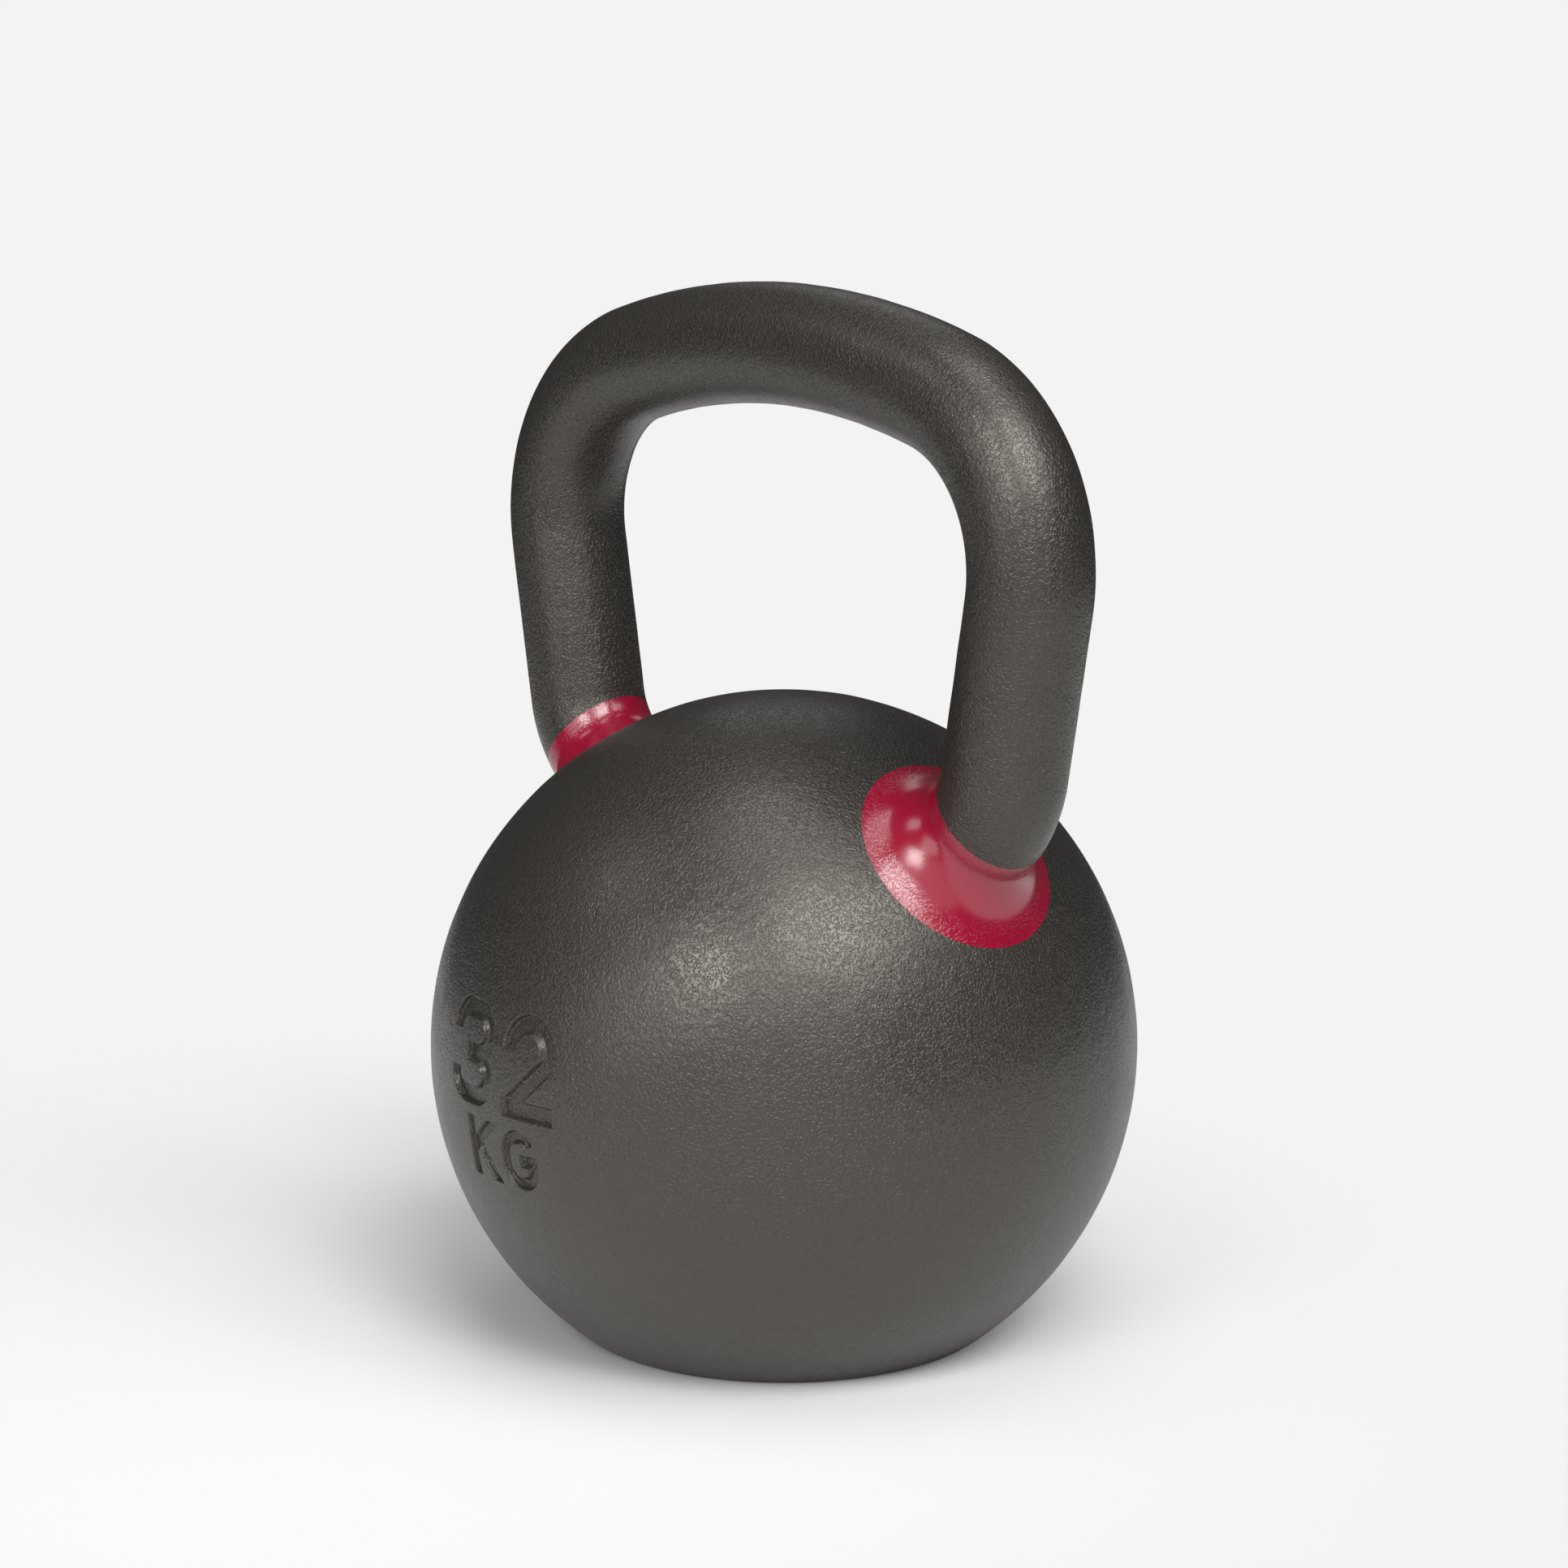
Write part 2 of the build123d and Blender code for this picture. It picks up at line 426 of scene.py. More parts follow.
# %% [markdown]
# ## The weight marking
#
# The marking is plain strokes of even width, cast into the ball. Cutting them out with a Boolean
# would leave upright walls and knife edges. Here the depth follows the distance from a stroke's
# edge, so that the walls get a draft and soft edges, as a pattern maker would give them to let
# the sand go. Each stroke is a chain of lines and arcs. The distance to the chain, less half the
# stroke's width, is negative inside the stroke, and cutting it at each end makes the end square.
#
# The outlines are drawn on a flat plane, x along the handle and y up, from a point level with the
# ball's centre and a little left of it.

# %% Distance to lines and arcs
def line_distance(points, start, end):
    """Distance to a straight line between two points."""
    run = end - start
    t = np.clip(((points - start) @ run) / (run @ run), 0, 1)
    return np.linalg.norm(points - start - t[:, None] * run, axis=1)


def rounded_path(corners, radii):
    """Lines and arcs through the corners of a path. A line is (start, end), and an arc is
    (centre, radius, angle at its middle, half its sweep)."""
    corners = [np.array(corner, float) for corner in corners]
    pieces, start = [], corners[0]
    for before, corner, after, radius in zip(corners, corners[1:], corners[2:], radii):
        to_before = (before - corner) / np.linalg.norm(before - corner)
        to_after = (after - corner) / np.linalg.norm(after - corner)
        half = acos(np.clip(to_before @ to_after, -1, 1)) / 2
        setback = radius * cos(half) / sin(half)
        middle = (to_before + to_after) / np.linalg.norm(to_before + to_after)
        arc_centre = corner + middle * radius / sin(half)
        pieces.append((start, corner + to_before * setback))
        pieces.append((arc_centre, radius, atan2(-middle[1], -middle[0]), pi / 2 - half))
        start = corner + to_after * setback
    pieces.append((start, corners[-1]))
    return pieces


def piece_distance(points, piece):
    """Distance to one line or arc of a path."""
    if len(piece) == 2:
        return line_distance(points, *piece)
    arc_centre, radius, middle, half_sweep = piece
    offset = points - arc_centre
    swing = np.angle(np.exp(1j * (np.arctan2(offset[:, 1], offset[:, 0]) - middle)))
    swing = np.clip(swing, -half_sweep, half_sweep) + middle
    nearest = np.stack((np.cos(swing), np.sin(swing)), axis=1) * radius
    return np.linalg.norm(offset - nearest, axis=1)


# %% Distance to strokes
END_REACH = 0.9                 # of a stroke's width: how far a square cut acts from its end


def stroke_distance(points, pieces, width, ends):
    """Signed distance to a stroke with square-cut ends. An end is (point, way out of it)."""
    distance = np.min([piece_distance(points, piece) for piece in pieces], axis=0) - width / 2
    for tip, way in ends:
        offset = points - tip
        near = np.linalg.norm(offset, axis=1) < END_REACH * width
        way = way / np.linalg.norm(way)
        distance = np.where(near, np.maximum(distance, offset @ way), distance)
    return distance


def path_stroke(points, corners, radii, width):
    """A stroke along a path with rounded corners, cut square at both ends."""
    corners = np.array(corners, float)
    ends = [(corners[0], corners[0] - corners[1]), (corners[-1], corners[-1] - corners[-2])]
    return stroke_distance(points, rounded_path(corners, radii), width, ends)


# %% Outlines of the digits
DIGIT_STROKE = 0.005
DIGIT_TOP, DIGIT_WAIST, DIGIT_FOOT = 0.0222, 0.0104, -0.0013    # centrelines of level strokes


def digits_distance(p):
    """Signed distance to the two digits, from points in the marking's own plane."""
    top, waist, foot = DIGIT_TOP, DIGIT_WAIST, DIGIT_FOOT
    strokes = []
    # 3: two bowls that share the waist
    left, right, waist_end, bowl = -0.0213, -0.0044, -0.015, 0.0058
    for edge, inward in ((top, -1), (foot, 1)):
        bowl_path = [
            (left, edge + inward * (bowl + 0.0005)), (left, edge), (right, edge),
            (right, waist), (waist_end, waist),
        ]
        strokes.append(path_stroke(p, bowl_path, [bowl] * 3, DIGIT_STROKE))
    # 2: a round head, a straight neck and a square foot
    left, right, head = 0.0051, 0.0199, 0.0072
    neck_path = [
        (left, top - head - 0.0003), (left, top), (right, top),
        (right, top - 1.4 * head), (left + 0.0007, foot + 0.0007),
    ]
    strokes.append(path_stroke(p, neck_path, [head, head, 0.005], DIGIT_STROKE))
    half = DIGIT_STROKE / 2
    strokes.append(path_stroke(p, [(left - half, foot), (right + half, foot)], [], DIGIT_STROKE))
    return np.min(strokes, axis=0)


# %% Outlines of the unit
UNIT_STROKE = 0.0034
UNIT_TOP, UNIT_FOOT = -0.0072, -0.024


def units_distance(p):
    """Signed distance to the two letters, from points in the marking's own plane."""
    # K: the slanted strokes are cut off level with the stem's ends
    left = -0.0145
    band = np.maximum(p[:, 1] - UNIT_TOP, UNIT_FOOT - p[:, 1])
    arm = path_stroke(p, [(left + 0.0015, -0.0166), (left + 0.0136, -0.0058)], [], UNIT_STROKE)
    leg = path_stroke(p, [(left + 0.0053, -0.0134), (left + 0.0131, -0.0256)], [], UNIT_STROKE)
    stem_x = left + UNIT_STROKE / 2
    stem = path_stroke(p, [(stem_x, UNIT_FOOT), (stem_x, UNIT_TOP)], [], UNIT_STROKE)
    slanted = np.maximum(np.minimum(arm, leg), band)
    # G: a tall ring, open at the upper right, with a short inward bar
    middle, bowl, bar_y, half = 0.0087, 0.00535, -0.0156, UNIT_STROKE / 2
    head = np.array((middle, UNIT_TOP - half - bowl))
    foot = np.array((middle, UNIT_FOOT + half + bowl))
    mouth = radians(35)
    mouth_point = head + bowl * np.array((cos(mouth), sin(mouth)))
    side_top = np.array((middle + bowl, bar_y + half))
    ring = [
        (head, bowl, (mouth + pi) / 2, (pi - mouth) / 2),
        (head - (bowl, 0), foot - (bowl, 0)),
        (foot, bowl, -pi / 2, pi / 2),
        (foot + (bowl, 0), side_top),
    ]
    ends = [(mouth_point, np.array((sin(mouth), -cos(mouth)))), (side_top, np.array((0, 1)))]
    ring = stroke_distance(p, ring, UNIT_STROKE, ends)
    bar = path_stroke(p, [(middle + bowl + half, bar_y), (middle + 0.0005, bar_y)], [], UNIT_STROKE)
    return np.min([slanted, stem, ring, bar], axis=0)


# %% Depth of the marking
MARKING_X = -0.0035
MARKING_DEPTH = 0.0016
EDGE_OUTSIDE = 0.00030          # the upper edge starts to round over this far outside the stroke
EDGE_INSIDE = 0.00075           # and the wall has met the floor this far inside


def marking_distance(points):
    """Signed distance, in the plane of the handle, from points in space to the marking's edge."""
    p = np.stack((points[:, 0] - MARKING_X, points[:, 2] - CENTRE_HEIGHT), axis=1)
    distance = np.minimum(digits_distance(p), units_distance(p))
    return np.where(points[:, 1] < 0, distance, 1.0)


def marking_depth(points):
    """How far the surface sinks at each point: a smooth step down the wall to a level floor."""
    t = (EDGE_OUTSIDE - marking_distance(points)) / (EDGE_OUTSIDE + EDGE_INSIDE)
    t = np.clip(t, 0, 1)
    return MARKING_DEPTH * t * t * (3 - 2 * t)


top_stroke = centre + (MARKING_X - 0.0128, -BALL_RADIUS, DIGIT_TOP)
print("depth in the middle of a stroke:", round(1000 * marking_depth(top_stroke[None])[0], 2), "mm")

# %% [markdown]
# ## The ball
#
# A globe with poles would crowd its quads at two points. A cube blown up to a sphere has quads of
# nearly one size everywhere, and one of its faces looks straight at the marking. The faces near
# the strokes are then divided eight times finer, so that walls and edges are real geometry.
#
# The rest is cut away by planes: the base, and a seat for each collar. A plane cuts a sphere in a
# circle, so each cut leaves an open ring of vertices. That ring is set on its circle, and the
# missing surface is built on from it, ring by ring: the base's rounded edge and flat, and the
# seats and sockets.

# %% Blown-up cube
BALL_CELLS = 88                 # quads along each edge of the cube
MARKING_CUTS = 7
MARKING_MARGIN = 0.0013         # finer quads reach this far outside the strokes
HALF_DIAGONAL = 0.7             # of a quad, as a share of its side
SEAM_SHARE = 0.02               # of a quad's side: nearer vertices are one, where cube faces meet


def blown_up_cube():
    """A closed quad sphere about the ball's centre."""
    line = np.tan(np.linspace(-pi / 4, pi / 4, BALL_CELLS + 1))
    u, v = np.meshgrid(line, line, indexing="ij")
    w = np.ones_like(u)
    index = np.arange(u.size).reshape(u.shape)
    quads = np.stack((index[:-1, :-1], index[1:, :-1], index[1:, 1:], index[:-1, 1:]), axis=-1)
    bm = bmesh.new()
    for a, b, c in ((u, v, w), (v, u, -w), (w, u, v), (-w, v, u), (v, w, u), (u, -w, v)):
        points = np.stack((a, b, c), axis=-1).reshape(-1, 3)
        points *= BALL_RADIUS / np.linalg.norm(points, axis=1)[:, None]
        corners = [bm.verts.new(point) for point in points + centre]
        for quad in quads.reshape(-1, 4):
            bm.faces.new([corners[k] for k in quad])
    bmesh.ops.remove_doubles(bm, verts=bm.verts, dist=BALL_RADIUS / BALL_CELLS * SEAM_SHARE)
    return bm


def refine_marking(bm):
    """Divides the faces on and near the strokes. The new vertices are not on the sphere yet."""
    faces = list(bm.faces)
    middles = np.array([face.calc_center_median() for face in faces])
    reach = MARKING_MARGIN + BALL_RADIUS * (pi / 2) / BALL_CELLS * HALF_DIAGONAL
    near = [face for face, d in zip(faces, marking_distance(middles)) if d < reach]
    edges = list(dict.fromkeys(edge for face in near for edge in face.edges))
    bmesh.ops.subdivide_edges(bm, edges=edges, cuts=MARKING_CUTS, use_grid_fill=True)
    print("refined", len(near), "faces round the marking")


# %% Cuts and open rings
CUT_TOLERANCE = 1e-7            # vertices nearer than this to a cutting plane lie on it


def cut(bm, point, normal):
    """Cuts the mesh by a plane, and removes what is on the side that the normal points to."""
    everything = list(bm.verts) + list(bm.edges) + list(bm.faces)
    bmesh.ops.bisect_plane(
        bm, geom=everything, dist=CUT_TOLERANCE, plane_co=point, plane_no=normal, clear_outer=True
    )


def open_loop(bm, near_point):
    """The open ring of vertices whose middle is nearest to a point, in order round it."""
    open_edges = [edge for edge in bm.edges if len(edge.link_faces) == 1]
    unused = set(open_edges)
    loops = []
    for edge in open_edges:
        if edge not in unused:
            continue
        unused.remove(edge)
        loop = [edge.verts[0], edge.verts[1]]
        while True:
            step = next((e for e in loop[-1].link_edges if e in unused), None)
            if step is None:
                break
            unused.remove(step)
            loop.append(step.other_vert(loop[-1]))
        loops.append(loop[:-1])
    middles = [np.mean([vert.co for vert in loop], axis=0) for loop in loops]
    return loops[int(np.argmin([np.linalg.norm(m - near_point) for m in middles]))]


# %% Surface of the ball
def ball_surface(points):
    """Puts the points of the cut sphere where the relief and the marking have them."""
    offset = points - centre
    ideal = offset / np.linalg.norm(offset, axis=1)[:, None] * BALL_RADIUS
    raised_radius = BALL_RADIUS + relief(centre + ideal) - marking_depth(points)
    surface = ideal * (raised_radius / BALL_RADIUS)[:, None]
    # In the marking, points sink straight back along Y, so the strokes keep their outline.
    sunk = marking_distance(points) < EDGE_OUTSIDE
    flat = np.hypot(ideal[:, 0], ideal[:, 2])
    straight_back = -np.sqrt(np.maximum(raised_radius**2 - flat**2, 0))
    surface[sunk, 0] = ideal[sunk, 0]
    surface[sunk, 2] = ideal[sunk, 2]
    surface[sunk, 1] = straight_back[sunk]
    return surface + centre


# %% Seats and base
EDGE_RINGS = 7
BASE_RINGS = 16

# Where the rounding of the base's edge leaves the sphere
edge_height = CENTRE_HEIGHT - BASE_EDGE_RADIUS
edge_reach = sqrt((BALL_RADIUS - BASE_EDGE_RADIUS) ** 2 - edge_height**2)
edge_lean = atan2(edge_reach, edge_height)
sphere_foot = centre - (0, 0, BALL_RADIUS * cos(edge_lean))
print("flat base", round(2000 * edge_reach, 1), "mm across")


def add_seat(bm, side, loop):
    """Builds a collar's seat and the socket below it, from the sphere's open ring."""
    out, downhill, across = entry_frame(side)
    offsets = [np.array(vert.co) - centre for vert in loop]
    angles = np.array([atan2(offset @ across, offset @ downhill) for offset in offsets])
    rim = circle_about_entry(side, angles, RIM_RADIUS, rim_distance)
    normal = (rim - centre) / BALL_RADIUS
    for vert, point in zip(loop, rim + relief(rim)[:, None] * normal):
        vert.co = point
    rings = [circle_about_entry(side, angles, RIM_RADIUS, seat_distance)]
    for distance in np.linspace(seat_distance, SPIGOT_END, SPIGOT_RINGS):
        rings.append(circle_about_entry(side, angles, SPIGOT_RADIUS, distance))
    cap(bm, stack(bm, rings, start=loop)[-1], centre + out * SPIGOT_END)


def add_base(bm, loop):
    """Builds the rounded edge and the flat base, from the sphere's open ring."""
    angles = np.array([atan2(vert.co.y, vert.co.x) for vert in loop])
    around = np.stack((np.cos(angles), np.sin(angles), np.zeros(len(angles))), axis=1)
    for vert, point in zip(loop, around * BALL_RADIUS * sin(edge_lean) + sphere_foot):
        vert.co = point
    rings = []
    for a in np.linspace(edge_lean, 0, EDGE_RINGS)[1:]:
        reach = edge_reach + BASE_EDGE_RADIUS * sin(a)
        rings.append(around * reach + (0, 0, BASE_EDGE_RADIUS * (1 - cos(a))))
    for share in np.linspace(1, 0, BASE_RINGS)[1:-1]:
        rings.append(around * edge_reach * share)
    cap(bm, stack(bm, rings, start=loop)[-1], (0, 0, 0))


# %% Ball casting
def make_ball():
    bm = blown_up_cube()
    refine_marking(bm)
    rim_middles = {side: centre + entry_frame(side)[0] * rim_distance for side in (1, -1)}
    cut(bm, sphere_foot, (0, 0, -1))
    for side, middle in rim_middles.items():
        cut(bm, middle, entry_frame(side)[0])
    seat_loops = {side: open_loop(bm, middle) for side, middle in rim_middles.items()}
    base_loop = open_loop(bm, sphere_foot)
    points = np.array([vert.co for vert in bm.verts])
    for vert, point in zip(bm.verts, ball_surface(points)):
        vert.co = point
    for side, loop in seat_loops.items():
        add_seat(bm, side, loop)
    add_base(bm, base_loop)
    return finish_mesh(bm, "ball_casting")


ball_casting = make_ball()

# %% [markdown]
# ## Finishes
#
# Powder coat over a sand casting looks like fine orange peel: small level plates with steeper
# edges, about a millimetre across, over wider dents, and a little stronger in some patches than
# in others. As real geometry that would take millions of faces. The grain is only about a tenth
# of a millimetre deep, so a bump, which changes the shading and not the shape, is enough.
#
# Both finishes lie over the same casting, so the grain is one node group, used by each with its
# own depth. It works in the object's own space, so it has no seams and needs no unwrapping.

# %% Node helpers
def add_node(tree, kind, **settings):
    """Adds a node. A keyword that names an input sets it, and any other is an attribute."""
    node = tree.nodes.new(kind)
    for key, value in settings.items():
        name = key.replace("_", " ").title()
        if name in node.inputs:
            node.inputs[name].default_value = value
        else:
            setattr(node, key, value)
    return node


def math_node(tree, operation, first, second=None):
    """Adds a Math node. Its inputs are numbers or sockets."""
    node = tree.nodes.new("ShaderNodeMath")
    node.operation = operation
    for slot, value in zip(node.inputs, (first, second)):
        if isinstance(value, bpy.types.NodeSocket):
            tree.links.new(value, slot)
        elif value is not None:
            slot.default_value = value
    return node.outputs[0]


def remap(tree, value, low, high, to_low, to_high):
    """Maps a range of values smoothly onto another."""
    node = tree.nodes.new("ShaderNodeMapRange")
    node.interpolation_type = "SMOOTHSTEP"
    tree.links.new(value, node.inputs["Value"])
    ends = {"From Min": low, "From Max": high, "To Min": to_low, "To Max": to_high}
    for name, number in ends.items():
        node.inputs[name].default_value = number
    return node.outputs["Result"]


def distance_from(tree, point):
    """Distance of each place from a point, in the object's own space."""
    place = tree.nodes.new("ShaderNodeTexCoord").outputs["Object"]
    distance = tree.nodes.new("ShaderNodeVectorMath")
    distance.operation = "DISTANCE"
    tree.links.new(place, distance.inputs[0])
    distance.inputs[1].default_value = point
    return distance.outputs["Value"]


# %% Casting grain, a node group
PLATE_EDGE = (0.36, 0.56)       # the range of noise values that makes the plates' edges
DENT_SHARE = 0.28               # dents per wrinkle, along a line
DENT_HEIGHT = 1.5               # of the dents, against 1 for the plates
PATCH_EDGE = (0.40, 0.64)       # the range of noise values between a smooth and a rough patch
MOTTLES_PER_METRE = 9.0


def make_grain_group():
    """A group that puts out the grain's height, where it is rough, and a slow drift of colour."""
    group = bpy.data.node_groups.new("casting_grain", "ShaderNodeTree")
    for name, default in (
        ("Wrinkles per metre", 1250.0),
        ("Patches per metre", 38.0),
        ("Smoothest patch", 0.8),
    ):
        socket = group.interface.new_socket(name, in_out="INPUT", socket_type="NodeSocketFloat")
        socket.default_value = default
    for name in ("Height", "Rough patches", "Mottle"):
        group.interface.new_socket(name, in_out="OUTPUT", socket_type="NodeSocketFloat")
    inputs = group.nodes.new("NodeGroupInput").outputs
    outputs = group.nodes.new("NodeGroupOutput").inputs
    place = group.nodes.new("ShaderNodeTexCoord").outputs["Object"]

    def noise(scale, detail, roughness, distortion=0.0):
        node = add_node(group, "ShaderNodeTexNoise", detail=detail, roughness=roughness,
                        distortion=distortion)
        group.links.new(place, node.inputs["Vector"])
        if isinstance(scale, bpy.types.NodeSocket):
            group.links.new(scale, node.inputs["Scale"])
        else:
            node.inputs["Scale"].default_value = scale
        return node.outputs[0]

    # Squeezing a noise's middle values into a short step leaves level plates with steep edges.
    fine = noise(inputs["Wrinkles per metre"], detail=1.0, roughness=0.5, distortion=0.6)
    plates = remap(group, fine, *PLATE_EDGE, 0.0, 1.0)
    dent_scale = math_node(group, "MULTIPLY", inputs["Wrinkles per metre"], DENT_SHARE)
    wide = noise(dent_scale, detail=1.0, roughness=0.5, distortion=0.3)
    wrinkles = math_node(group, "ADD", plates, math_node(group, "MULTIPLY", wide, DENT_HEIGHT))
    patches = noise(inputs["Patches per metre"], detail=2.5, roughness=0.55, distortion=0.3)
    patch_mask = remap(group, patches, *PATCH_EDGE, 0.0, 1.0)
    lowest = inputs["Smoothest patch"]
    span = math_node(group, "SUBTRACT", 1.0, lowest)
    strength = math_node(group, "ADD", lowest, math_node(group, "MULTIPLY", patch_mask, span))
    group.links.new(math_node(group, "MULTIPLY", wrinkles, strength), outputs["Height"])
    group.links.new(patch_mask, outputs["Rough patches"])
    mottle = noise(MOTTLES_PER_METRE, detail=3.0, roughness=0.55)
    group.links.new(mottle, outputs["Mottle"])
    return group


grain_group = make_grain_group()
sockets = grain_group.interface.items_tree
print(grain_group.name, "puts out", [item.name for item in sockets if item.in_out == "OUTPUT"])

# %% Grain and mottle in a material
MOTTLE_EDGE = (0.35, 0.65)      # the range of noise values between one shade and the other


def grained_material(name, grain_depth, wrinkles_per_metre, smoothest_patch, where=None):
    """A Principled material whose normal comes from the casting's grain. The grain may be
    limited to a place, by a function that makes a mask in the material's node tree."""
    material = bpy.data.materials.new(name)
    material.use_nodes = True
    tree = material.node_tree
    shader = tree.nodes["Principled BSDF"]
    grain = tree.nodes.new("ShaderNodeGroup")
    grain.node_tree = grain_group
    grain.inputs["Wrinkles per metre"].default_value = wrinkles_per_metre
    grain.inputs["Smoothest patch"].default_value = smoothest_patch
    height = grain.outputs["Height"]
    if where:
        height = math_node(tree, "MULTIPLY", height, where(tree))
    bump = tree.nodes.new("ShaderNodeBump")
    bump.inputs["Strength"].default_value = 1.0
    bump.inputs["Distance"].default_value = grain_depth
    tree.links.new(height, bump.inputs["Height"])
    tree.links.new(bump.outputs["Normal"], shader.inputs["Normal"])
    return material, tree, shader, grain


def blend_colours(tree, factor, first, second):
    """Mixes two colours by a mask, and returns the colour socket."""
    mix = tree.nodes.new("ShaderNodeMix")
    mix.data_type = "RGBA"
    tree.links.new(factor, mix.inputs["Factor"])
    # Inputs 6 and 7 and output 2 are the ones for colours. The node has others of the same names.
    mix.inputs[6].default_value = (*first, 1)
    mix.inputs[7].default_value = (*second, 1)
    return mix.outputs[2]


def colour_and_roughness(tree, shader, grain, colours, roughness):
    """Lets the colour drift with the mottle, and the roughness with the grain's patches."""
    mottle = remap(tree, grain.outputs["Mottle"], *MOTTLE_EDGE, 0, 1)
    tree.links.new(blend_colours(tree, mottle, *colours), shader.inputs["Base Color"])
    patchy = remap(tree, grain.outputs["Rough patches"], 0, 1, *roughness)
    tree.links.new(patchy, shader.inputs["Roughness"])


# %% [markdown]
# ## Powder coat
#
# The powder coat on ball and handle is a warm dark grey, with a satin gloss. A wide, soft
# reflection could come from a high roughness alone, but that looks dusty. So the roughness is
# moderate, and the grain's own slopes spread the light further. Where the grain is strong its
# slopes do more, so the roughness there is set a little lower. The colour drifts slightly over
# the casting, as the coat's thickness does.

# %% Powder coat
COAT_GRAIN_DEPTH = 0.00012
COAT_WRINKLES_PER_METRE = 1250.0
COAT_SMOOTHEST_PATCH = 0.8      # grain in the smoothest patch, against 1 in the roughest
COAT_COLOURS = (0.0210, 0.0184, 0.0163), (0.0240, 0.0210, 0.0188)
COAT_ROUGHNESS = 0.35, 0.31     # in smooth patches and in rough ones
COAT_REFLECTION = 0.84
COAT_REFLECTION_TINT = (1.0, 0.94, 0.845, 1)


def make_powder_coat():
    material, tree, shader, grain = grained_material(
        "powder_coat", COAT_GRAIN_DEPTH, COAT_WRINKLES_PER_METRE, COAT_SMOOTHEST_PATCH
    )
    colour_and_roughness(tree, shader, grain, COAT_COLOURS, COAT_ROUGHNESS)
    shader.inputs["Specular IOR Level"].default_value = COAT_REFLECTION
    shader.inputs["Specular Tint"].default_value = COAT_REFLECTION_TINT
    return material


powder_coat = make_powder_coat()
print(powder_coat.name, "has", len(powder_coat.node_tree.nodes), "nodes")

# %% [markdown]
# ## Enamel
#
# The collars are painted in a deep crimson enamel over the same casting. Wet enamel levels itself,
# so it is glossy, and it fills the grain where it lies thick. That is on the hollow of the flare,
# and the grain shows again at the rim and, less, at the neck. A second material for the rim would
# leave a hard border, so one material fades the grain in and out by a mask. All three places
# differ in their distance from the ball's centre, and the mask needs nothing else.

# %% Enamel
ENAMEL_GRAIN_DEPTH = 0.000055
ENAMEL_WRINKLES_PER_METRE = 1200.0
ENAMEL_SMOOTHEST_PATCH = 0.7
ENAMEL_COLOURS = (0.235, 0.002, 0.020), (0.265, 0.003, 0.024)
ENAMEL_ROUGHNESS = 0.20, 0.22
ENAMEL_REFLECTION = 0.85
RIM_FADE = 0.1007, 0.1024       # distances from the ball's centre, over which the grain fades out
NECK_FADE = 0.1070, 0.1110      # and over which it comes back
RIM_GRAIN, FLARE_GRAIN, NECK_GRAIN = 1.0, 0.1, 0.35


def rim_and_neck(tree):
    """A mask for the grain: full at a collar's rim, faint on its flare, and weak at its neck."""
    distance = distance_from(tree, centre)
    at_rim = remap(tree, distance, *RIM_FADE, RIM_GRAIN, FLARE_GRAIN)
    at_neck = remap(tree, distance, *NECK_FADE, 0.0, NECK_GRAIN)
    return math_node(tree, "ADD", at_rim, at_neck)


def make_enamel():
    material, tree, shader, grain = grained_material(
        "crimson_enamel", ENAMEL_GRAIN_DEPTH, ENAMEL_WRINKLES_PER_METRE, ENAMEL_SMOOTHEST_PATCH,
        where=rim_and_neck,
    )
    colour_and_roughness(tree, shader, grain, ENAMEL_COLOURS, ENAMEL_ROUGHNESS)
    shader.inputs["Specular IOR Level"].default_value = ENAMEL_REFLECTION
    return material


enamel = make_enamel()
print(enamel.name, "has", len(enamel.node_tree.nodes), "nodes")

# %% [markdown]
# ## Pieces in the frame
#
# The CAD model has plainer solids of the same four pieces. Giving those a finish would be quicker,
# but they have no relief, no soft crease and no draft in the marking, so the pieces made here take
# their place. Each gets its finish and hides the CAD node it stands for, and it moves with the
# bell's one body.

# %% Hand the pieces over
for piece, node, material, slot_name in (
    (ball_casting, "ball", powder_coat, "iron_coating"),
    (handle_bar, "handle", powder_coat, "iron_coating"),
    (right_flare, "right_collar", enamel, "collar_enamel"),
    (left_flare, "left_collar", enamel, "collar_enamel"),
):
    piece.data.materials.append(material)
    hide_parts(node)
    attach(piece, "root")
    print(piece.name, "stands for", node)

# %% [markdown]
# ## Studio
#
# The bell stands on a pale floor that fades into a pale background, with no horizon between them.
# A studio does that with a curved paper roll. Here the floor is a flat disc that turns transparent
# for the camera with distance from a point on the shadow's side of the bell, so that the shadow is
# kept and the rest fades out. Reflections still see all of the disc. It is small, because a wide
# floor would light up the lower edge of the ball.
#
# The background's brightness is also for the camera only. The light on the bell comes from large
# soft panels and a faint even glow, so that the one brightness doesn't tie down the other.

# %% Floor
FLOOR_RADIUS = 0.9
FLOOR_SIDES = 96
FLOOR_COLOUR = (0.76, 0.76, 0.76, 1)
FLOOR_ROUGHNESS = 0.9
FADE_CENTRE = (-0.08, -0.09, 0.0)
FADE_FROM, FADE_TO = 0.12, 0.36


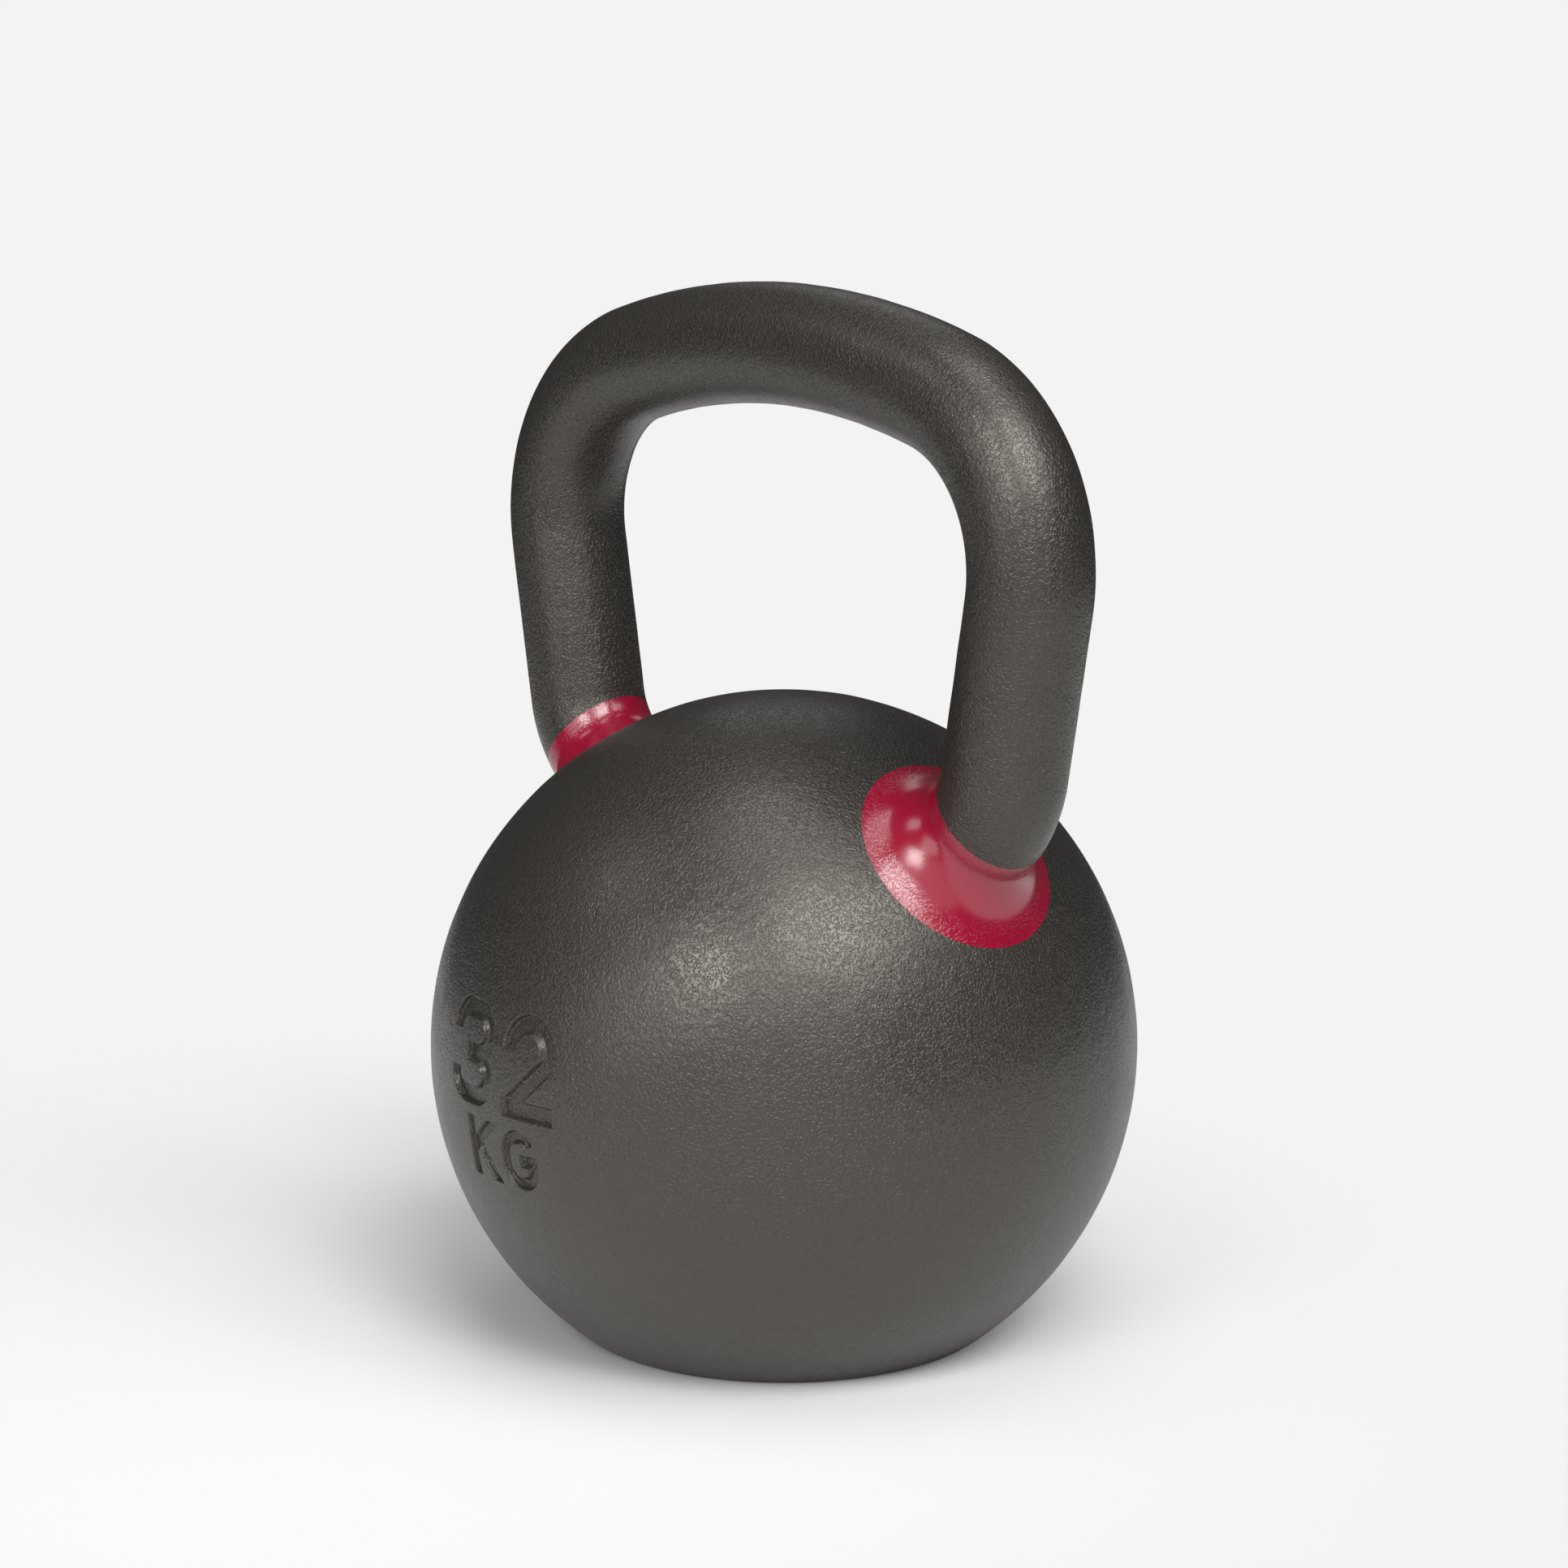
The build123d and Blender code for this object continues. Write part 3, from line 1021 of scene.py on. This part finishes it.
def make_floor():
    bm = bmesh.new()
    bmesh.ops.create_circle(bm, cap_ends=True, segments=FLOOR_SIDES, radius=FLOOR_RADIUS)
    mesh = bpy.data.meshes.new("studio_floor")
    bm.to_mesh(mesh)
    bm.free()
    floor = bpy.data.objects.new("studio_floor", mesh)
    bpy.context.scene.collection.objects.link(floor)
    material = bpy.data.materials.new("pale_floor")
    material.use_nodes = True
    tree = material.node_tree
    shader = tree.nodes["Principled BSDF"]
    shader.inputs["Base Color"].default_value = FLOOR_COLOUR
    shader.inputs["Roughness"].default_value = FLOOR_ROUGHNESS
    shader.inputs["Specular IOR Level"].default_value = 0.0
    faded = remap(tree, distance_from(tree, FADE_CENTRE), FADE_FROM, FADE_TO, 0.0, 1.0)
    seen = tree.nodes.new("ShaderNodeLightPath").outputs["Is Camera Ray"]
    alpha = math_node(tree, "SUBTRACT", 1.0, math_node(tree, "MULTIPLY", faded, seen))
    tree.links.new(alpha, shader.inputs["Alpha"])
    mesh.materials.append(material)
    return floor


studio_floor = make_floor()
print(studio_floor.name, "fades from", FADE_FROM, "to", FADE_TO, "m")

# %% Background
PALE = 0.896                    # the background's brightness to the camera, out of 1
AMBIENT = 0.05                  # and what it gives as light


def make_world():
    world = bpy.data.worlds.new("studio")
    bpy.context.scene.world = world
    world.use_nodes = True
    tree = world.node_tree
    background = tree.nodes["Background"]
    background.inputs["Color"].default_value = (1, 1, 1, 1)
    seen = tree.nodes.new("ShaderNodeLightPath").outputs["Is Camera Ray"]
    strength = remap(tree, seen, 0, 1, AMBIENT, PALE)
    tree.links.new(strength, background.inputs["Strength"])


make_world()
print("background", PALE, "for the camera, and", AMBIENT, "as light")

# %% Soft panels
LIGHT_DISTANCE = 4.0
LIGHT_TARGET = Vector((0, 0, 0.14))


def direction(azimuth, elevation):
    """Away from the bell. Azimuth 0 is the marking's side, and 90 degrees is +X."""
    a, e = radians(azimuth), radians(elevation)
    return Vector((sin(a) * cos(e), -cos(a) * cos(e), sin(e)))


def add_panel(name, azimuth, elevation, width, power):
    """A square soft panel that faces the bell."""
    away = direction(azimuth, elevation)
    light = bpy.data.lights.new(name, "AREA")
    light.shape = "SQUARE"
    light.size = width
    light.energy = power
    panel = bpy.data.objects.new(name, light)
    panel.location = LIGHT_TARGET + away * LIGHT_DISTANCE
    panel.rotation_euler = away.to_track_quat("Z", "Y").to_euler()
    panel.visible_camera = False
    bpy.context.scene.collection.objects.link(panel)
    print(f"{name}: {width} m wide, {power} W, azimuth {azimuth}, elevation {elevation}")


for panel_values in (
    ("key_panel", 65, 48, 1.8, 78),
    ("key_end_panel", 86, 46, 2.1, 38),
    ("high_right_panel", 112, 50, 1.6, 22),
    ("left_panel", 20, 33, 1.3, 52),
    ("far_left_panel", 322, 45, 1.1, 9),
    ("low_left_panel", 357, 14, 2.0, 24),
    ("fill_panel", 50, 24, 5.0, 58),
    ("top_panel", 49, 88, 2.2, 40),
    ("back_panel", 229, 35, 1.2, 4),
):
    add_panel(*panel_values)

# %% [markdown]
# ## Camera
#
# The camera looks slightly down on the bell, from about halfway between its front and its right
# side. A short lens close by would fill the frame just as well, but would draw the near arm much
# larger than the far one. So it is a long lens, more than a metre away.

# %% Camera
CAMERA_AZIMUTH, CAMERA_ELEVATION = 49.0, 10.48
CAMERA_DISTANCE = 1.1113
LENS, SENSOR = 90.9, 36.0       # millimetres
TARGET_ABOVE_CENTRE = 0.0743    # how far above the ball's centre it aims

camera_data = bpy.data.cameras.new("studio_camera")
camera_data.lens = LENS
camera_data.sensor_width = SENSOR
camera = bpy.data.objects.new("studio_camera", camera_data)
bpy.context.scene.collection.objects.link(camera)
away = direction(CAMERA_AZIMUTH, CAMERA_ELEVATION)
camera.location = Vector((0, 0, CENTRE_HEIGHT + TARGET_ABOVE_CENTRE)) + away * CAMERA_DISTANCE
camera.rotation_euler = away.to_track_quat("Z", "Y").to_euler()
bpy.context.scene.camera = camera
bpy.context.scene.view_settings.view_transform = "Standard"
print("camera at", [round(x, 3) for x in camera.location])
